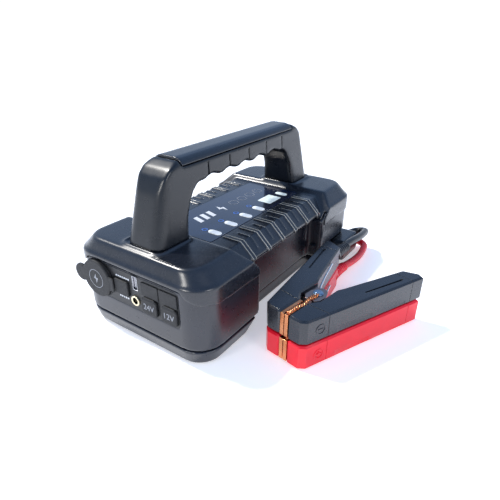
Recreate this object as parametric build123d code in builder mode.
from build123d import *
import math
import os

# Jump starter pack: moulded case with a lengthwise carry handle, a port panel on
# one end, a keyed top label, and a pair of jump leads with battery clamps.
# Origin: centre of the whole footprint, case and leads together, at floor level.
# X runs along the case with the port panel at -X, the lead recess opens to -Y at
# the +X end, +Z is up. Millimetres. Everything is drawn about the centre of the
# case and moved to the origin when it is saved.

os.makedirs("parts", exist_ok=True)

# ---- case ----------------------------------------------------------------------
case_l, case_w = 300.0, 160.0     # over the shoulders, the high parts at both ends
half_l, half_w = case_l / 2, case_w / 2
corner_r = 25.0                   # vertical corner radius
waist_x = 65.5                    # inner side of each shoulder
waist_y = 60.0                    # half width of the waist wall
wall = 3.0
tray_bot, tray_top = 2.0, 16.6
body_bot, body_top = 18.0, 75.6
waist_top = 89.0                  # top face of the waist
shoulder_top = 94.0               # top face of the shoulders
lip_bot, lip_top = 76.2, 81.0     # band round the foot of the cover
skirt_bot = 62.0                  # lower edge of the cover's skirt
beyond = 100.0                    # distance from the middle, clear of both sides
footprint_x, footprint_y = 5.1, -61.75   # footprint centre, from the case centre

# inner slope of each shoulder
slope_z, slope_run, slope_rise = 66.0, 11.0, 12.0
slope_end_z = shoulder_top + 2
slope_end_x = waist_x + (slope_end_z - slope_z) * slope_run / slope_rise

# ribs over the flanks of the waist: y stations and spacing
rib_y1, rib_y2, rib_y3 = 37.0, 58.7, 72.5
rib_pitch = 26.3

# places of screws and feet on the base tray (x, y)
screw_places = [(-115, 52), (-115, -52), (115, 52), (76, -40), (0, 45), (0, -45)]
foot_places = [(-128, 50), (-128, -50), (128, 50), (84, -50)]

# ---- handle --------------------------------------------------------------------
leg_out, leg_in = 136.0, 95.0     # outer and inner x of each leg at its foot
leg_half = 22.0                   # half width of a leg at its foot
grip_top, grip_under = 167.5, 141.0
grip_half = 17.5                  # half width of the grip
collar_x = 115.5                  # centre of each leg's collar
tenon_x = 113.0                   # centre of each leg's tenon
tenon_screw_y = 7.0

# ---- label, keys and windows (x, y) ----------------------------------------------
label_y = -1.0
key_places = {
    "key_power": (-64.5, -25.5),
    "key_light": (-38.2, -25.5),
    "key_boost": (-12.0, -25.5),
    "key_output": (12.5, -25.5),
}
status_place = (68.0, -21.5)
gauge_place = (44.5, -19.5)
slot_places = [*key_places.values(), status_place]
slot_l, slot_w = 15.4, 7.4        # opening for a key or the status window
gauge_l, gauge_w = 24.4, 17.4     # opening for the gauge window
key_l, key_w = slot_l - 0.4, slot_w - 0.4

# ---- port panel (y, z) -------------------------------------------------------------
port_face = -half_l
panel_w, panel_z1, panel_z2 = 110.0, 38.0, 74.0
panel_h = panel_z2 - panel_z1
panel_centre = (1.0, (panel_z1 + panel_z2) / 2)
cap_y, cap_z, cap_r = 47.0, 56.5, 19.0
cap_centre = (cap_y, cap_z)
usb_place = (-2.5, 66.0)
dc_place = (-1.5, 48.0)
boost_z = 48.0
boost_y = {"boost_socket_24v": -20.0, "boost_socket_12v": -43.5}
boost_places = [(y, boost_z) for y in boost_y.values()]

# ---- battery (y, z) ----------------------------------------------------------------
cell_r, cell_pitch, cell_z = 13.0, 27.0, 36.0
cell_places = [((i - 1.5) * cell_pitch, cell_z) for i in range(4)]

# ---- lead recess, plug and cables --------------------------------------------------
recess_x1, recess_x2 = 93.0, 156.0
recess_y1, recess_y2 = -86.0, -60.0
recess_z = 35.5
recess_centre = ((recess_x1 + recess_x2) / 2, (recess_y1 + recess_y2) / 2)
recess_l, recess_w = recess_x2 - recess_x1, recess_y2 - recess_y1
output_place = (124.0, 15.0)      # output socket (x, z)
cable_y = -83.0
black_exit_z, red_exit_z = 22.5, 11.5
cable_r = 4.4

# ---- clamps ------------------------------------------------------------------------
# Each clamp lies flat, its pin upright. Local x runs from the pin to the handles.
pin_x, pin_y, pin_r = -48.0, -132.0, 3.0
clamp_angle = math.radians(-10.0)
clamp_z = {"red": 0.6, "black": 27.2}    # underside of each clamp
arm_h = 25.0
link_t = 4.0
# side of the clamp: sign of local y, height of its link above the underside
clamp_sides = {"left": (1, 16.6), "right": (-1, 4.4)}
# arm outline (x, y), jaw end first
arm_profile = [
    (-49, 4.6), (-49, 17.5), (-44.5, 23), (92, 58), (95.5, 52), (90, 36.5),
    (21, 13.6), (14, 10.6), (-12, 10.6), (-20, 5.6), (-22, 4.6),
]


def save(part, name):
    """Move a piece from the case's frame to the footprint's and write it."""
    placed = part.moved(Location((-footprint_x, -footprint_y, 0)))
    placed.label = name
    export_step(placed, "parts/" + name + ".step")


def across(half):
    """Outline symmetric about the first axis' zero, from its positive half."""
    return [(-a, b) for a, b in half] + half[::-1]


# ---- case pieces -------------------------------------------------------------------
def lower_housing():
    pocket_places = [(0, half_w + 10), (0, -half_w - 10)]
    pocket_w = 60.0
    with BuildPart() as housing:
        with BuildSketch(Plane.XY.offset(body_bot)):
            RectangleRounded(case_l, case_w, corner_r)
        extrude(amount=body_top - body_bot)
        # side pockets of the waist
        with BuildSketch(Plane.XY.offset(body_bot)):
            with Locations(*pocket_places):
                Rectangle(2 * waist_x, pocket_w)
        extrude(amount=body_top - body_bot, mode=Mode.SUBTRACT)
        # inner, then outer, upright edges of the pockets
        for edge_y, radius in ((waist_y, 6.0), (half_w, 2.5)):
            pocket_edges = housing.edges().filter_by(Axis.Z).filter_by(
                lambda e: abs(abs(e.center().X) - waist_x) < 0.1
                and abs(abs(e.center().Y) - edge_y) < 0.1)
            fillet(pocket_edges, radius)
        # inner cavity, open above and below
        with BuildSketch(Plane.XY.offset(body_bot)):
            RectangleRounded(case_l - 2 * wall, case_w - 2 * wall, corner_r - wall)
            with Locations(*pocket_places):
                Rectangle(2 * (waist_x + wall), pocket_w + 2 * wall, mode=Mode.SUBTRACT)
        extrude(amount=body_top - body_bot, mode=Mode.SUBTRACT)
        # sloped upper inner corner of each shoulder
        slope_top = slope_z + slope_rise
        with BuildSketch(Plane.XZ.offset(-beyond)):
            with BuildLine():
                Polyline((0, slope_z), (waist_x, slope_z), (waist_x + slope_run, slope_top),
                         (0, slope_top), close=True)
            make_face()
            mirror(about=Plane.YZ)
        extrude(amount=2 * beyond, mode=Mode.SUBTRACT)
        # restore the waist wall above the slope cut
        with BuildSketch(Plane.XY.offset(62)):
            with Locations((0, waist_y - wall / 2), (0, -waist_y + wall / 2)):
                Rectangle(2 * waist_x + 6, wall)
        extrude(amount=7.3)
        # sloped lower inner corners, on the +Y and then the -Y side
        for side in (1, -1):
            with BuildSketch(Plane.XZ.offset(-side * beyond)):
                with BuildLine():
                    Polyline((waist_x - 6, 17), (waist_x - 6, 21), (waist_x, 21),
                             (waist_x + 4.6, 17), close=True)
                make_face()
                mirror(about=Plane.YZ)
            extrude(amount=side * (beyond - waist_y - 1.5), mode=Mode.SUBTRACT)
        # port panel seat and the round seat of the socket
        seat_depth = 1.8
        with BuildSketch(Plane.YZ.offset(port_face)):
            with Locations(panel_centre):
                RectangleRounded(panel_w, panel_h, 3)
        extrude(amount=seat_depth, mode=Mode.SUBTRACT)
        with BuildSketch(Plane.YZ.offset(port_face)):
            with Locations(cap_centre):
                Circle(19.4)
        extrude(amount=seat_depth, mode=Mode.SUBTRACT)
        # port openings through the end wall
        with BuildSketch(Plane.YZ.offset(port_face - 1)):
            with Locations(cap_centre):
                Circle(14.3)
            with Locations(usb_place):
                Rectangle(9, 17)
            with Locations(dc_place):
                Circle(6.2)
            with Locations(*boost_places):
                Rectangle(17, 13)
        extrude(amount=8, mode=Mode.SUBTRACT)
        # opening for the lead recess
        with BuildSketch(Plane.XY):
            with Locations(recess_centre):
                Rectangle(recess_l, recess_w)
        extrude(amount=recess_z, mode=Mode.SUBTRACT)
    return housing.part


def base_tray():
    cut_bot, cut_top = tray_bot - 1, 17.0
    with BuildPart() as tray:
        with BuildSketch(Plane.XY.offset(tray_bot)):
            RectangleRounded(case_l - 7, case_w - 8, corner_r - 3)
        with BuildSketch(Plane.XY.offset(tray_top)):
            RectangleRounded(case_l, case_w, corner_r)
        loft()
        # hollow from above, leaving a floor
        with BuildSketch(Plane.XY.offset(tray_bot + 3)):
            RectangleRounded(case_l - 16, case_w - 18, corner_r - 7)
        extrude(amount=20, mode=Mode.SUBTRACT)
        # narrow waist with sloped ends, cut on the +Y and then the -Y side
        for side in (1, -1):
            with BuildSketch(Plane.XZ.offset(-side * beyond)):
                with BuildLine():
                    Polyline((-waist_x - 20, cut_bot), (waist_x + 20, cut_bot),
                             (waist_x + 4.9, cut_top), (-waist_x - 4.9, cut_top), close=True)
                make_face()
            extrude(amount=side * (beyond - 58), mode=Mode.SUBTRACT)
        # side walls of the waist, running on behind the sloped ends
        with BuildSketch(Plane.XY.offset(tray_bot)):
            with Locations((0, 56), (0, -56)):
                Rectangle(2 * waist_x + 50, 3)
        extrude(amount=tray_top - tray_bot)
        # screw bosses, their through holes and the counterbores for the heads
        with BuildSketch(Plane.XY.offset(tray_bot)):
            with Locations(*screw_places):
                Circle(5)
        extrude(amount=12)
        for hole_r, depth in ((2.2, 20), (4.0, 5)):
            with BuildSketch(Plane.XY.offset(tray_bot - 1)):
                with Locations(*screw_places):
                    Circle(hole_r)
            extrude(amount=depth, mode=Mode.SUBTRACT)
        # seats for the rubber feet
        with BuildSketch(Plane.XY.offset(tray_bot)):
            with Locations(*foot_places):
                Circle(8.2)
        extrude(amount=1.2, mode=Mode.SUBTRACT)
        # opening for the lead recess
        with BuildSketch(Plane.XY):
            with Locations(recess_centre):
                Rectangle(recess_l, recess_w)
        extrude(amount=recess_z, mode=Mode.SUBTRACT)
        # room for the back of the output socket
        with BuildSketch(Plane.XY.offset(5.4)):
            with Locations((output_place[0], -56)):
                Rectangle(40, 30)
        extrude(amount=20, mode=Mode.SUBTRACT)
    return tray.part


def cover_cavity():
    """Hollow inside the two shoulders of the top cover."""
    with BuildPart() as cavity:
        with BuildSketch(Plane.XY.offset(70)):
            RectangleRounded(case_l - 7, case_w - 7, corner_r - 3)
        with BuildSketch(Plane.XY.offset(shoulder_top - 3)):
            RectangleRounded(case_l - 24, case_w - 34, corner_r - 9)
        loft()
        with BuildSketch(Plane.XZ.offset(-beyond)):
            with BuildLine():
                Polyline((0, 60), (70, 60), (72.5, 69.0), (slope_end_x + 5, slope_end_z),
                         (0, slope_end_z), close=True)
            make_face()
            mirror(about=Plane.YZ)
        extrude(amount=2 * beyond, mode=Mode.SUBTRACT)
    return cavity.part


def slope_webs():
    """Sloped walls closing the inner side of each shoulder of the top cover."""
    envelope_l, envelope_w, envelope_r = case_l - 7.2, case_w - 7.2, corner_r - 3.6
    with BuildPart() as webs:
        with BuildSketch(Plane.XY.offset(60)):
            RectangleRounded(envelope_l, envelope_w, envelope_r)
        extrude(amount=lip_top - 60)
        with BuildSketch(Plane.XY.offset(lip_top)):
            RectangleRounded(envelope_l, envelope_w, envelope_r)
        with BuildSketch(Plane.XY.offset(shoulder_top)):
            RectangleRounded(case_l - 14, case_w - 30, corner_r - 6)
        loft()
        with BuildSketch(Plane.XZ.offset(-90)):
            with BuildLine():
                Polyline((68.9, 69.4), (91.5, 94.0), (91.5, 89.0), (68.9, 65.0), close=True)
            make_face()
            mirror(about=Plane.YZ)
        extrude(amount=180, mode=Mode.INTERSECT)
    return webs.part


def top_cover():
    cavity, webs = cover_cavity(), slope_webs()
    lip_l, lip_w, lip_r = case_l + 3.2, case_w + 3.2, corner_r + 1.6
    # relief of the skirt over the port panel (y, z)
    skirt_relief = [
        (-90, 55), (-90, 61.6), (-74, 64), (-61, 70.5), (-57, 76.19),
        (58, 76.19), (62, 70.5), (75, 64), (90, 61.6), (90, 55),
    ]
    # half sections of the waist, outside and inside (y, z)
    waist_outside = [(69.5, 69.6), (rib_y3, 72.4), (rib_y3, 75.5), (rib_y2, waist_top)]
    waist_inside = [(56.3, 69), (56.3, 72.6), (68.5, 72.6), (68.5, 74), (56, 86)]
    # main rib, the groove along it, and the thin rib (y, z)
    main_rib = [
        (rib_y1, 88.5), (rib_y1 + 1.2, 90.2), (rib_y2 + 0.5, 90.2), (rib_y3 + 1.6, 75.6),
        (rib_y3 + 1.6, 72.9), (rib_y3 - 1, 72.5), (rib_y3 - 1, 75.2), (rib_y2 - 0.5, 88.5),
    ]
    rib_groove = [
        (rib_y1 + 2, 92), (rib_y1 + 2, 89.3), (rib_y2 + 0.1, 89.3), (rib_y3 + 0.7, 75.4),
        (rib_y3 + 0.7, 71), (80, 71), (80, 92),
    ]
    thin_rib = [
        (rib_y1 + 7, 88.5), (rib_y1 + 8, 89.8), (rib_y2 + 0.3, 89.8),
        (rib_y3 - 3.4, 79.4), (rib_y3 - 4.4, 78.0), (rib_y2 - 0.5, 88.5),
    ]
    main_w, groove_w, thin_w = 5.2, 1.2, 1.6

    with BuildPart() as cover:
        with BuildSketch(Plane.XY.offset(lip_top - 0.5)):
            RectangleRounded(case_l, case_w, corner_r)
        with BuildSketch(Plane.XY.offset(shoulder_top)):
            RectangleRounded(case_l - 12, case_w - 26, corner_r - 5)
        loft()
        fillet(cover.faces().sort_by(Axis.Z)[-1].edges(), 5.0)
        with BuildSketch(Plane.XY.offset(lip_bot)):
            RectangleRounded(lip_l, lip_w, lip_r)
        extrude(amount=lip_top - lip_bot)
        # skirt that laps over the lower housing round each shoulder
        with BuildSketch(Plane.XY.offset(skirt_bot)):
            RectangleRounded(lip_l, lip_w, lip_r)
            RectangleRounded(case_l + 0.16, case_w + 0.16, corner_r + 0.08, mode=Mode.SUBTRACT)
            Rectangle(2 * (waist_x + 2.5), 200, mode=Mode.SUBTRACT)
        extrude(amount=lip_bot - skirt_bot + 1)
        # the skirt rises over the port panel
        with BuildSketch(Plane.YZ.offset(port_face - 10)):
            with BuildLine():
                Polyline(*skirt_relief, close=True)
            make_face()
        extrude(amount=42, mode=Mode.SUBTRACT)
        # inner slopes of the shoulders
        with BuildSketch(Plane.XZ.offset(-beyond)):
            with BuildLine():
                Polyline((0, 60), (60, 60), (waist_x, slope_z), (slope_end_x, slope_end_z),
                         (0, slope_end_z), close=True)
            make_face()
            mirror(about=Plane.YZ)
        extrude(amount=2 * beyond, mode=Mode.SUBTRACT)
        add(cavity, mode=Mode.SUBTRACT)
        add(webs)
        # waist: flat top, sloped flanks, hollow underneath
        with BuildSketch(Plane.YZ.offset(-88)):
            with BuildLine():
                Polyline(*across(waist_outside), close=True)
            make_face()
        extrude(amount=176)
        with BuildSketch(Plane.YZ.offset(-84)):
            with BuildLine():
                Polyline(*across(waist_inside), close=True)
            make_face()
        extrude(amount=168, mode=Mode.SUBTRACT)
        for side in (-1, 1):
            # main ribs, each split by a fine groove, over the flank edges
            for i in range(6):
                x = (i - 2.5) * rib_pitch
                with BuildSketch(Plane.YZ.offset(x - main_w / 2)):
                    with BuildLine():
                        Polyline(*[(side * y, z) for y, z in main_rib], close=True)
                    make_face()
                extrude(amount=main_w)
                with BuildSketch(Plane.YZ.offset(x - groove_w / 2)):
                    with BuildLine():
                        Polyline(*[(side * y, z) for y, z in rib_groove], close=True)
                    make_face()
                extrude(amount=groove_w, mode=Mode.SUBTRACT)
            # thin ribs half way between the main ones
            for i in range(5):
                x = (i - 2) * rib_pitch
                with BuildSketch(Plane.YZ.offset(x - thin_w / 2)):
                    with BuildLine():
                        Polyline(*[(side * y, z) for y, z in thin_rib], close=True)
                    make_face()
                extrude(amount=thin_w)
        # seat for the label
        with BuildSketch(Plane.XY.offset(waist_top - 1.0)):
            with Locations((0, label_y)):
                RectangleRounded(168, 70, 3)
        extrude(amount=4, mode=Mode.SUBTRACT)
        # openings under the keys and windows
        with BuildSketch(Plane.XY.offset(80)):
            with Locations(*slot_places):
                SlotOverall(slot_l, slot_w, rotation=90)
            with Locations(gauge_place):
                Rectangle(gauge_l, gauge_w)
        extrude(amount=12, mode=Mode.SUBTRACT)
        # raised collar round each handle leg, the leg's seat and the tenon's hole
        for side in (-1, 1):
            with BuildSketch(Plane.XY.offset(shoulder_top - 1.5)):
                with Locations((side * collar_x, 0)):
                    RectangleRounded(50.0, 53.0, 11)
            with BuildSketch(Plane.XY.offset(shoulder_top + 2.6)):
                with Locations((side * collar_x, 0)):
                    RectangleRounded(46.4, 49.0, 9)
            loft()
            with BuildSketch(Plane.XY.offset(shoulder_top)):
                with Locations((side * collar_x, 0)):
                    RectangleRounded(42.6, 45.2, 4.4)
            extrude(amount=8, mode=Mode.SUBTRACT)
            with BuildSketch(Plane.XY.offset(shoulder_top - 10)):
                with Locations((side * tenon_x, 0)):
                    Rectangle(24.4, 26.4)
            extrude(amount=12, mode=Mode.SUBTRACT)
    return cover.part


def rubber_feet():
    with BuildPart() as feet:
        for place in foot_places:
            with BuildSketch(Plane.XY):
                with Locations(place):
                    Circle(8.0)
            extrude(amount=3.0)
        chamfer(feet.faces().filter_by(lambda f: f.center().Z < 0.01).edges(), 0.6)
    return feet.part


def case_screws():
    with BuildPart() as screws:
        for place in screw_places:
            # head, then shank
            with BuildSketch(Plane.XY.offset(tray_bot + 1.4)):
                with Locations(place):
                    Circle(3.6)
            extrude(amount=2.55)
            with BuildSketch(Plane.XY.offset(tray_bot + 3.8)):
                with Locations(place):
                    Circle(2.0)
            extrude(amount=12)
    return screws.part


def clamp_pegs():
    """Short pegs on the shoulders' inner sides that hold a clamp in each side pocket."""
    with BuildPart() as pegs:
        for side_x in (-1, 1):
            for side_y in (-1, 1):
                with BuildSketch(Plane.YZ.offset(side_x * (waist_x - 0.05))):
                    with Locations((side_y * 70, 32)):
                        RectangleRounded(7, 9, 1.5)
                extrude(amount=-side_x * 5)
    return pegs.part


# ---- handle pieces -----------------------------------------------------------------
def handle_envelope():
    """Tapering block with rounded upright corners that bounds the handle."""
    with BuildPart() as envelope:
        with BuildSketch(Plane.XY.offset(shoulder_top)):
            RectangleRounded(2 * leg_out, 2 * leg_half, 12)
        with BuildSketch(Plane.XY.offset(grip_top + 4)):
            RectangleRounded(2 * leg_out - 40, 2 * leg_half - 8.5, 12)
        loft()
    return envelope.part


def handle_frame():
    envelope = handle_envelope()
    leg_foot = shoulder_top + 0.05
    # side view, +X half, from the foot up (x, z)
    outer = [
        (leg_out, leg_foot), (129, 118), (122.5, 142), (116.5, 154), (109, 160.8),
        (99, 165.8), (91, grip_top),
    ]
    inner = [(leg_in, leg_foot), (89, 124), (82, 136), (74, grip_under)]
    # end view, +Y half, from the foot up (y, z)
    end_view = [
        (leg_half, shoulder_top), (grip_half, 150), (grip_half, 161.5), (14.5, 166.1),
        (9, 169.5),
    ]
    scallop_pitch, groove_pitch = 27, 33
    with BuildPart() as frame:
        with BuildSketch(Plane.XZ.offset(-leg_half)):
            with BuildLine():
                Polyline(*across(outer), *across(inner)[::-1], close=True)
            make_face()
        extrude(amount=2 * leg_half)
        # the handle narrows towards the top
        with BuildSketch(Plane.YZ.offset(-140)):
            with BuildLine():
                Polyline(*across(end_view), close=True)
            make_face()
        extrude(amount=280, mode=Mode.INTERSECT)
        # rounded upright corners
        add(envelope, mode=Mode.INTERSECT)
        inner_edges = frame.edges().filter_by(
            lambda e: 88 < abs(e.center().X) < 94.5 and abs(e.center().Y) > 15 and e.length > 25)
        fillet(inner_edges, 5.0)
        # finger scallops under the grip
        with BuildSketch(Plane.XZ.offset(-30)):
            with Locations(*[(i * scallop_pitch, grip_under - 15.5) for i in range(-2, 3)]):
                Circle(18.5)
        extrude(amount=60, mode=Mode.SUBTRACT)
        # shallow upright grooves on the grip's sides
        for side in (-1, 1):
            with BuildSketch(Plane.XZ.offset(-side * grip_half)):
                with Locations(*[(-60 + i * groove_pitch, 150) for i in range(5)]):
                    SlotOverall(15, 2.4, rotation=90)
            extrude(amount=0.8 * side, mode=Mode.SUBTRACT)
        # seat for the top grip
        with BuildSketch(Plane.XY.offset(160.7)):
            RectangleRounded(190, 50, 3)
        extrude(amount=20, mode=Mode.SUBTRACT)
        # tenons that pass through the cover, with two screw holes each
        for side in (-1, 1):
            with BuildSketch(Plane.XY.offset(shoulder_top - 12)):
                with Locations((side * tenon_x, 0)):
                    Rectangle(23.8, 25.8)
            extrude(amount=16)
            with BuildSketch(Plane.XY.offset(shoulder_top - 13)):
                with Locations((side * tenon_x, tenon_screw_y), (side * tenon_x, -tenon_screw_y)):
                    Circle(2.0)
            extrude(amount=18, mode=Mode.SUBTRACT)
    return frame.part


def handle_grip():
    # end view, +Y half, from the lower edge up (y, z)
    end_view = [
        (grip_half, 160.5), (17.4, 161.7), (15.6, 164.8), (12.5, 166.9), (8, 167.9),
    ]
    with BuildPart() as grip:
        with BuildSketch(Plane.XY.offset(161.0)):
            RectangleRounded(189.4, 50, 2.8)
        extrude(amount=10)
        with BuildSketch(Plane.YZ.offset(-140)):
            with BuildLine():
                Polyline(*across(end_view), close=True)
            make_face()
        extrude(amount=280, mode=Mode.INTERSECT)
    return grip.part


def handle_screws():
    with BuildPart() as screws:
        for side_x in (-1, 1):
            for side_y in (-1, 1):
                place = (side_x * tenon_x, side_y * tenon_screw_y)
                # head, then shank
                with BuildSketch(Plane.XY.offset(shoulder_top - 16)):
                    with Locations(place):
                        Circle(3.6)
                extrude(amount=3.9)
                with BuildSketch(Plane.XY.offset(shoulder_top - 12.2)):
                    with Locations(place):
                        Circle(1.9)
                extrude(amount=15)
    return screws.part


# ---- label, keys and windows -------------------------------------------------------
def label_panel():
    with BuildPart() as label:
        with BuildSketch(Plane.XY.offset(waist_top - 0.95)):
            with Locations((0, label_y)):
                RectangleRounded(167.4, 69.4, 2.8)
        extrude(amount=1.15)
        with BuildSketch(Plane.XY.offset(80)):
            with Locations(*slot_places):
                SlotOverall(slot_l, slot_w, rotation=90)
            with Locations(gauge_place):
                Rectangle(gauge_l, gauge_w)
        extrude(amount=12, mode=Mode.SUBTRACT)
    return label.part


def label_key(place):
    with BuildPart() as key:
        with BuildSketch(Plane.XY.offset(84.4)):
            with Locations(place):
                SlotOverall(key_l, key_w, rotation=90)
        extrude(amount=5.6)
        fillet(key.faces().sort_by(Axis.Z)[-1].edges(), 0.6)
    return key.part


def gauge_window():
    with BuildPart() as window:
        with BuildSketch(Plane.XY.offset(86.2)):
            with Locations(gauge_place):
                RectangleRounded(gauge_l - 0.4, gauge_w - 0.4, 1)
        extrude(amount=3.3)
        # fine lines dividing the top face
        with BuildSketch(Plane.XY.offset(89.2)):
            with Locations(gauge_place):
                with GridLocations(8, 0, 2, 1):
                    Rectangle(0.6, 18)
                Rectangle(25, 0.6)
        extrude(amount=1, mode=Mode.SUBTRACT)
    return window.part


def status_window():
    with BuildPart() as window:
        with BuildSketch(Plane.XY.offset(86.2)):
            with Locations(status_place):
                SlotOverall(key_l, key_w, rotation=90)
        extrude(amount=3.4)
    return window.part


def key_board():
    board_bot, board_t = 80.6, 1.6
    with BuildPart() as board:
        with BuildSketch(Plane.XY.offset(board_bot)):
            with Locations((2, -21)):
                Rectangle(150, 26)
        extrude(amount=board_t)
        # square blocks under the keys
        with BuildSketch(Plane.XY.offset(board_bot + board_t)):
            with Locations(*key_places.values()):
                Rectangle(5, 5)
        extrude(amount=1.1)
        # small blocks under the two windows
        with BuildSketch(Plane.XY.offset(board_bot + board_t)):
            with Locations(status_place, *[(x, y) for y in (-15, -24) for x in (36.5, 44.5, 52.5)]):
                Rectangle(3, 2.4)
        extrude(amount=1.2)
    return board.part


# ---- port panel pieces -------------------------------------------------------------
def port_panel():
    with BuildPart() as panel:
        with BuildSketch(Plane.YZ.offset(port_face + 0.3)):
            with Locations(panel_centre):
                RectangleRounded(panel_w - 0.6, panel_h - 0.6, 2.7)
            with Locations(cap_centre):
                Circle(19.6, mode=Mode.SUBTRACT)
        extrude(amount=1.4)
        with BuildSketch(Plane.YZ.offset(port_face - 1)):
            with Locations(usb_place):
                RectangleRounded(6.6, 14.6, 0.6)
            with Locations(dc_place):
                Circle(5.3)
            with Locations(*boost_places):
                RectangleRounded(16, 12, 1)
        extrude(amount=6, mode=Mode.SUBTRACT)
    return panel.part


def socket_barrel():
    with BuildPart() as barrel:
        # flange, then tube
        with BuildSketch(Plane.YZ.offset(port_face - 1.0)):
            with Locations(cap_centre):
                Circle(18.4)
        extrude(amount=2.6)
        with BuildSketch(Plane.YZ.offset(port_face)):
            with Locations(cap_centre):
                Circle(13.9)
        extrude(amount=44)
        # bore, then the hole for the contact
        with BuildSketch(Plane.YZ.offset(port_face - 2)):
            with Locations(cap_centre):
                Circle(10.6)
        extrude(amount=42, mode=Mode.SUBTRACT)
        with BuildSketch(Plane.YZ.offset(port_face + 20)):
            with Locations(cap_centre):
                Circle(3.2)
        extrude(amount=40, mode=Mode.SUBTRACT)
    return barrel.part


def socket_contact():
    with BuildPart() as contact:
        with BuildSketch(Plane.YZ.offset(port_face + 36)):
            with Locations(cap_centre):
                Circle(3.0)
        extrude(amount=16)
        fillet(contact.faces().sort_by(Axis.X)[0].edges(), 1.2)
    return contact.part


def socket_cap():
    strap_w = 14.0
    with BuildPart() as cap:
        # round cap with a tab on its +Y side
        with BuildSketch(Plane.YZ.offset(port_face - 4.2)):
            with Locations(cap_centre):
                Circle(cap_r)
            with Locations((cap_y + 22.0, cap_z)):
                Circle(9.0)
        extrude(amount=3.0)
        fillet(cap.faces().sort_by(Axis.X)[0].edges(), 1.0)
        # ring on the back that enters the barrel
        with BuildSketch(Plane.YZ.offset(port_face - 1.4)):
            with Locations(cap_centre):
                Circle(9.0)
                Circle(7.0, mode=Mode.SUBTRACT)
        extrude(amount=2.4)
        # strap towards the tether pad
        with BuildSketch(Plane.YZ.offset(port_face - 4.0)):
            with Locations((cap_y - cap_r, cap_z)):
                Rectangle(8, strap_w)
        extrude(amount=1.6)
        # rolled edge on the bending line of the strap
        with BuildSketch(Plane.XY.offset(cap_z - strap_w / 2)):
            with Locations((port_face - 3.2, cap_y - 22.8)):
                Circle(0.8)
        extrude(amount=strap_w)
    return cap.part


def cap_tether():
    with BuildPart() as tether:
        with BuildSketch(Plane.YZ.offset(port_face - 2.2)):
            with Locations((15.0, cap_z)):
                RectangleRounded(18.0, 15.5, 1.5)
        extrude(amount=2.4)
        fillet(tether.faces().sort_by(Axis.X)[0].edges(), 0.7)
    return tether.part


def usb_port():
    shell_w, shell_h = 6.2, 14.2
    with BuildPart() as port:
        # shell, back wall and contact tongue
        with BuildSketch(Plane.YZ.offset(port_face - 0.1)):
            with Locations(usb_place):
                RectangleRounded(shell_w, shell_h, 0.5)
                Rectangle(shell_w - 1.3, shell_h - 1.3, mode=Mode.SUBTRACT)
        extrude(amount=15)
        with BuildSketch(Plane.YZ.offset(port_face + 13.4)):
            with Locations(usb_place):
                Rectangle(shell_w, shell_h)
        extrude(amount=1.5)
        with BuildSketch(Plane.YZ.offset(port_face + 1.5)):
            with Locations((usb_place[0] + 1.2, usb_place[1])):
                Rectangle(1.8, 11.0)
        extrude(amount=12.5)
    return port.part


def dc_jack():
    jack_r = 5.0
    with BuildPart() as jack:
        # barrel, back wall and centre pin
        with BuildSketch(Plane.YZ.offset(port_face + 2.2)):
            with Locations(dc_place):
                Circle(jack_r)
                Circle(3.2, mode=Mode.SUBTRACT)
        extrude(amount=12)
        with BuildSketch(Plane.YZ.offset(port_face + 13.2)):
            with Locations(dc_place):
                Circle(jack_r)
        extrude(amount=1.6)
        with BuildSketch(Plane.YZ.offset(port_face + 2.5)):
            with Locations(dc_place):
                Circle(1.0)
        extrude(amount=11)
    return jack.part


def dc_jack_ring():
    with BuildPart() as ring:
        with BuildSketch(Plane.YZ.offset(port_face - 1.4)):
            with Locations(dc_place):
                Circle(5.1)
                Circle(3.2, mode=Mode.SUBTRACT)
        extrude(amount=3.4)
        fillet(ring.faces().sort_by(Axis.X)[0].edges(), 0.5)
    return ring.part


def flap_pads():
    """Fixed rubber pads that carry the two flap covers."""
    with BuildPart() as pads:
        with BuildSketch(Plane.YZ.offset(port_face - 1.0)):
            with Locations((-20.9, 64.4), (-42.5, 64.4)):
                RectangleRounded(20.6, 13.2, 0.9)
        extrude(amount=1.2)
    return pads.part


def socket_flap(centre_y, width):
    bead_inset = 2.6
    with BuildPart() as flap:
        with BuildSketch(Plane.YZ.offset(port_face - 2.4)):
            with Locations((centre_y, 48.2)):
                RectangleRounded(width, 15.4, 2.4)
        extrude(amount=2.5)
        fillet(flap.faces().sort_by(Axis.X)[0].edges(), 0.7)
        # plug on the back
        with BuildSketch(Plane.YZ.offset(port_face)):
            with Locations((centre_y, boost_z)):
                RectangleRounded(11, 7, 1)
        extrude(amount=2.0)
        # hinge bead along the upper edge
        with BuildSketch(Plane.XZ.offset(-(centre_y - width / 2 + bead_inset))):
            with Locations((port_face - 1.2, 56.6)):
                Circle(0.75)
        extrude(amount=-(width - 2 * bead_inset))
    return flap.part


def boost_socket(centre_y):
    with BuildPart() as socket:
        with BuildSketch(Plane.YZ.offset(port_face + 2.6)):
            with Locations((centre_y, boost_z)):
                RectangleRounded(15.4, 11.4, 1)
        extrude(amount=22)
        with BuildSketch(Plane.YZ.offset(port_face + 2)):
            with Locations((centre_y - 3.6, boost_z), (centre_y + 3.6, boost_z)):
                Circle(2.9)
        extrude(amount=18, mode=Mode.SUBTRACT)
    return socket.part


# ---- inside ------------------------------------------------------------------------
def battery_cells():
    cell_l, gap = 65.0, 2.0
    with BuildPart() as cells:
        for x in (-cell_l - gap / 2, gap / 2):
            with BuildSketch(Plane.YZ.offset(x)):
                with Locations(*cell_places):
                    Circle(cell_r)
            extrude(amount=cell_l)
    return cells.part


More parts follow.
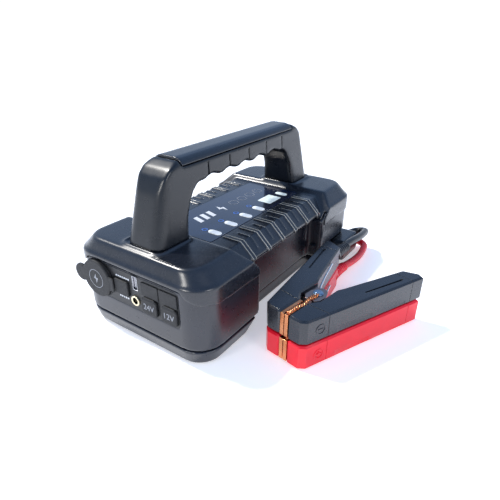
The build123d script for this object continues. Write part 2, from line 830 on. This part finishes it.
def battery_frame():
    with BuildPart() as frame:
        # plates across the cells
        for x in (-54, -16, 12, 50):
            with BuildSketch(Plane.YZ.offset(x)):
                with Locations((0, cell_z)):
                    RectangleRounded(111, 29.4, 3)
                with Locations(*cell_places):
                    Circle(cell_r + 0.1, mode=Mode.SUBTRACT)
            extrude(amount=4)
        # side walls
        with BuildSketch(Plane.XY.offset(20.4)):
            with Locations((0, 54.8), (0, -54.8)):
                Rectangle(112, 1.4)
        extrude(amount=30.2)
    return frame.part


def bus_bars():
    bar_l, bar_h, bar_t = 40.0, 10.0, 0.8
    with BuildPart() as bars:
        # two bars at the +X end
        with BuildSketch(Plane.YZ.offset(66.2)):
            with Locations((cell_pitch, cell_z), (-cell_pitch, cell_z)):
                Rectangle(bar_l, bar_h)
        extrude(amount=bar_t)
        # one bar and two tabs at the -X end
        with BuildSketch(Plane.YZ.offset(-67.0)):
            with Locations((0, cell_z)):
                Rectangle(bar_l, bar_h)
            with Locations(cell_places[-1], cell_places[0]):
                Rectangle(12, bar_h)
        extrude(amount=bar_t)
    return bars.part


def main_board():
    board_bot, board_t = 54.0, 1.6
    parts_z = board_bot + board_t
    with BuildPart() as board:
        with BuildSketch(Plane.XY.offset(board_bot)):
            Rectangle(124, 104)
        extrude(amount=board_t)
        # large blocks, upright cylinders, low square blocks
        with BuildSketch(Plane.XY.offset(parts_z)):
            with Locations((-42, 25), (-18, 25)):
                Rectangle(18, 16)
            with Locations((20, -28)):
                Rectangle(24, 24)
        extrude(amount=12)
        with BuildSketch(Plane.XY.offset(parts_z)):
            with Locations((48, 30), (48, 14), (34, 30)):
                Circle(5)
        extrude(amount=16)
        with BuildSketch(Plane.XY.offset(parts_z)):
            with Locations((-30, -25), (-48, -28), (0, 0)):
                Rectangle(9, 9)
        extrude(amount=2)
    return board.part


def port_board():
    board_x, board_t = -124.6, 1.6
    with BuildPart() as board:
        with BuildSketch(Plane.YZ.offset(board_x)):
            with Locations((-16, 52)):
                Rectangle(78, 40)
        extrude(amount=board_t)
        with BuildSketch(Plane.YZ.offset(board_x + board_t)):
            with Locations((-40, 60), (5, 45)):
                Rectangle(12, 12)
        extrude(amount=8)
    return board.part


# ---- lead recess, output socket and leads --------------------------------------------
def lead_recess():
    # inner faces of the recess lining, and its outer limits
    left_x, right_x, open_y, back_y = 93.4, 148.0, -78.8, -60.4
    with BuildPart() as recess:
        # L-shaped walls
        with BuildSketch(Plane.XY.offset(2.4)):
            with BuildLine():
                Polyline((left_x, open_y), (left_x, back_y), (right_x, back_y),
                         (right_x, -63), (96, -63), (96, open_y), close=True)
            make_face()
        extrude(amount=32.8)
        # roof, cut back to follow the case corner
        with BuildSketch(Plane.XY.offset(32.7)):
            with BuildLine():
                Polyline((left_x, open_y), (left_x, back_y), (right_x, back_y),
                         (right_x, -64.8), (139, -74), (128, open_y), close=True)
            make_face()
        extrude(amount=2.5)
        # opening for the output socket
        with BuildSketch(Plane.XZ.offset(50)):
            with Locations(output_place):
                Rectangle(36.4, 18.4)
        extrude(amount=20, mode=Mode.SUBTRACT)
    return recess.part


def output_socket():
    with BuildPart() as socket:
        with BuildSketch(Plane.XZ.offset(44)):
            with Locations(output_place):
                RectangleRounded(36, 18, 2)
        extrude(amount=20.5)
        with BuildSketch(Plane.XZ.offset(50)):
            with Locations(output_place):
                Rectangle(27, 12)
        extrude(amount=20, mode=Mode.SUBTRACT)
    return socket.part


def lead_plug():
    cable_places = [(cable_y, black_exit_z), (cable_y, red_exit_z)]
    with BuildPart() as plug:
        with BuildSketch(Plane.XZ.offset(67)):
            with Locations((122, 17.75)):
                RectangleRounded(50, 26.5, 8.5)
        extrude(amount=29)
        chamfer(plug.faces().sort_by(Axis.Y)[0].edges(), 2.5)
        # tongue that enters the output socket
        with BuildSketch(Plane.XZ.offset(53.5)):
            with Locations(output_place):
                Rectangle(26.2, 11.2)
        extrude(amount=14)
        # boots where the two cables leave sideways, and their bores
        with BuildSketch(Plane.YZ.offset(140)):
            with Locations(*cable_places):
                Circle(5.2)
        extrude(amount=10)
        with BuildSketch(Plane.YZ.offset(138)):
            with Locations(*cable_places):
                Circle(cable_r + 0.15)
        extrude(amount=20, mode=Mode.SUBTRACT)
    return plug.part


def lead_cable(exit_z, stations, end_tangent):
    """Cable leaving the plug towards +X and bending round through the stations."""
    with BuildPart() as cable:
        with BuildLine() as path:
            straight = Line((138.5, cable_y, exit_z), (150, cable_y, exit_z))
            Spline(straight @ 1, *stations,
                   tangents=((1, 0, 0), end_tangent), tangent_scalars=(1, 1))
        with BuildSketch(Plane(origin=path.line @ 0, z_dir=(1, 0, 0))):
            Circle(cable_r)
        sweep()
    return cable.part


# points the cables pass through (x, y, z)
black_stations = [
    (159.5, -93, 25), (149, -103, 29), (125, -105.5, 33), (98, -105, 37), (63, -103, 39.7),
]
red_stations = [
    (160, -93.5, 8.8), (149, -104.5, 6.6), (124, -107.5, 6.2), (96, -107, 8.6),
    (63, -103.5, 13.1),
]


# ---- clamp pieces ------------------------------------------------------------------
def clamp_arm(base, side, link_z):
    # cut for the steel link, and the slot in the top face of the handle (x, y)
    link_seat = [(-8, 3), (14, 3), (14, 17), (-8, 17)]
    handle_slot = [(24, 29.0), (84, 45.2), (84, 47.4), (24, 31.2)]
    with BuildPart() as arm:
        with BuildSketch(base):
            with BuildLine():
                Polyline(*[(x, side * y) for x, y in arm_profile], close=True)
            make_face()
        extrude(amount=arm_h)
        top_edges = arm.faces().sort_by(Axis.Z)[-1].edges()
        chamfer(top_edges.filter_by(lambda e: e.length > 4.5), 1.8)
        bottom_edges = arm.faces().sort_by(Axis.Z)[0].edges()
        chamfer(bottom_edges.filter_by(lambda e: e.length > 4.5), 1.0)
        with BuildSketch(base.offset(link_z - 0.2)):
            with BuildLine():
                Polyline(*[(x, side * y) for x, y in link_seat], close=True)
            make_face()
        extrude(amount=link_t + 0.4, mode=Mode.SUBTRACT)
        with BuildSketch(base.offset(arm_h - 1.0)):
            with BuildLine():
                Polyline(*[(x, side * y) for x, y in handle_slot], close=True)
            make_face()
        extrude(amount=2, mode=Mode.SUBTRACT)
    return arm.part


def clamp_jaw(base, side):
    tooth_pitch, back_y, end_inset = 2.8, 4.2, 1.2
    outline = [(-48.4, back_y), (-48.4, 0.5)]
    for i in range(9):
        tip_x = -47.0 + tooth_pitch * i
        outline += [(tip_x, 0.5), (tip_x + tooth_pitch / 2, 1.7)]
    outline += [(-21.6, 0.6), (-21.6, back_y)]
    with BuildPart() as jaw:
        with BuildSketch(base.offset(end_inset)):
            with BuildLine():
                Polyline(*[(x, side * y) for x, y in outline], close=True)
            make_face()
        extrude(amount=arm_h - 2 * end_inset)
    return jaw.part


def clamp_link(base, side, link_z):
    eye_r = 7.0
    tail = [(-eye_r, 2), (eye_r, 2), (12, 9), (12, 16), (-eye_r, 16)]
    with BuildPart() as link:
        with BuildSketch(base.offset(link_z)):
            Circle(eye_r)
            with BuildLine():
                Polyline(*[(x, side * y) for x, y in tail], close=True)
            make_face()
            Circle(pin_r + 0.06, mode=Mode.SUBTRACT)
        extrude(amount=link_t)
    return link.part


def clamp_pin(base):
    with BuildPart() as pin:
        with BuildSketch(base.offset(3.0)):
            Circle(pin_r)
        extrude(amount=19.4)
        # lower and upper heads
        for head_z in (2.2, 21.0):
            with BuildSketch(base.offset(head_z)):
                Circle(4.6)
            extrude(amount=2.0)
        fillet(pin.faces().sort_by(Axis.Z)[-1].edges(), 0.8)
    return pin.part


def clamp_spring(bottom_z):
    with BuildPart() as spring:
        with BuildLine() as coil:
            Helix(pitch=1.9, height=5.7, radius=4.6, center=(pin_x, pin_y, bottom_z + 9.4))
        with BuildSketch(Plane(origin=coil.line @ 0, z_dir=coil.line % 0)):
            Circle(0.8)
        sweep()
    return spring.part


# ---- build and save ----------------------------------------------------------------
# single pieces: each file takes its function's name
for build in (
    lower_housing, base_tray, top_cover, rubber_feet, case_screws, clamp_pegs,
    handle_frame, handle_grip, handle_screws,
    label_panel, gauge_window, status_window, key_board,
    port_panel, socket_barrel, socket_contact, socket_cap, cap_tether,
    usb_port, dc_jack, dc_jack_ring, flap_pads,
    battery_cells, battery_frame, bus_bars, main_board, port_board,
    lead_recess, output_socket, lead_plug,
):
    save(build(), build.__name__)

for name, place in key_places.items():
    save(label_key(place), name)

save(socket_flap(centre_y=-20.0, width=18.6), "flap_24v")
save(socket_flap(centre_y=-43.6, width=18.0), "flap_12v")
for name, y in boost_y.items():
    save(boost_socket(y), name)

save(lead_cable(black_exit_z, black_stations, end_tangent=(-1, 0.05, 0)), "black_cable")
save(lead_cable(red_exit_z, red_stations, end_tangent=(-1, 0.1, 0.05)), "red_cable")

for colour, bottom_z in clamp_z.items():
    clamp_base = Plane(origin=(pin_x, pin_y, bottom_z),
                       x_dir=(math.cos(clamp_angle), math.sin(clamp_angle), 0),
                       z_dir=(0, 0, 1))
    prefix = colour + "_clamp_"
    for side_name, (side, link_z) in clamp_sides.items():
        save(clamp_arm(clamp_base, side, link_z), prefix + "arm_" + side_name)
        save(clamp_jaw(clamp_base, side), prefix + "jaw_" + side_name)
        save(clamp_link(clamp_base, side, link_z), prefix + "link_" + side_name)
    save(clamp_pin(clamp_base), prefix + "pin")
    save(clamp_spring(bottom_z), prefix + "spring")
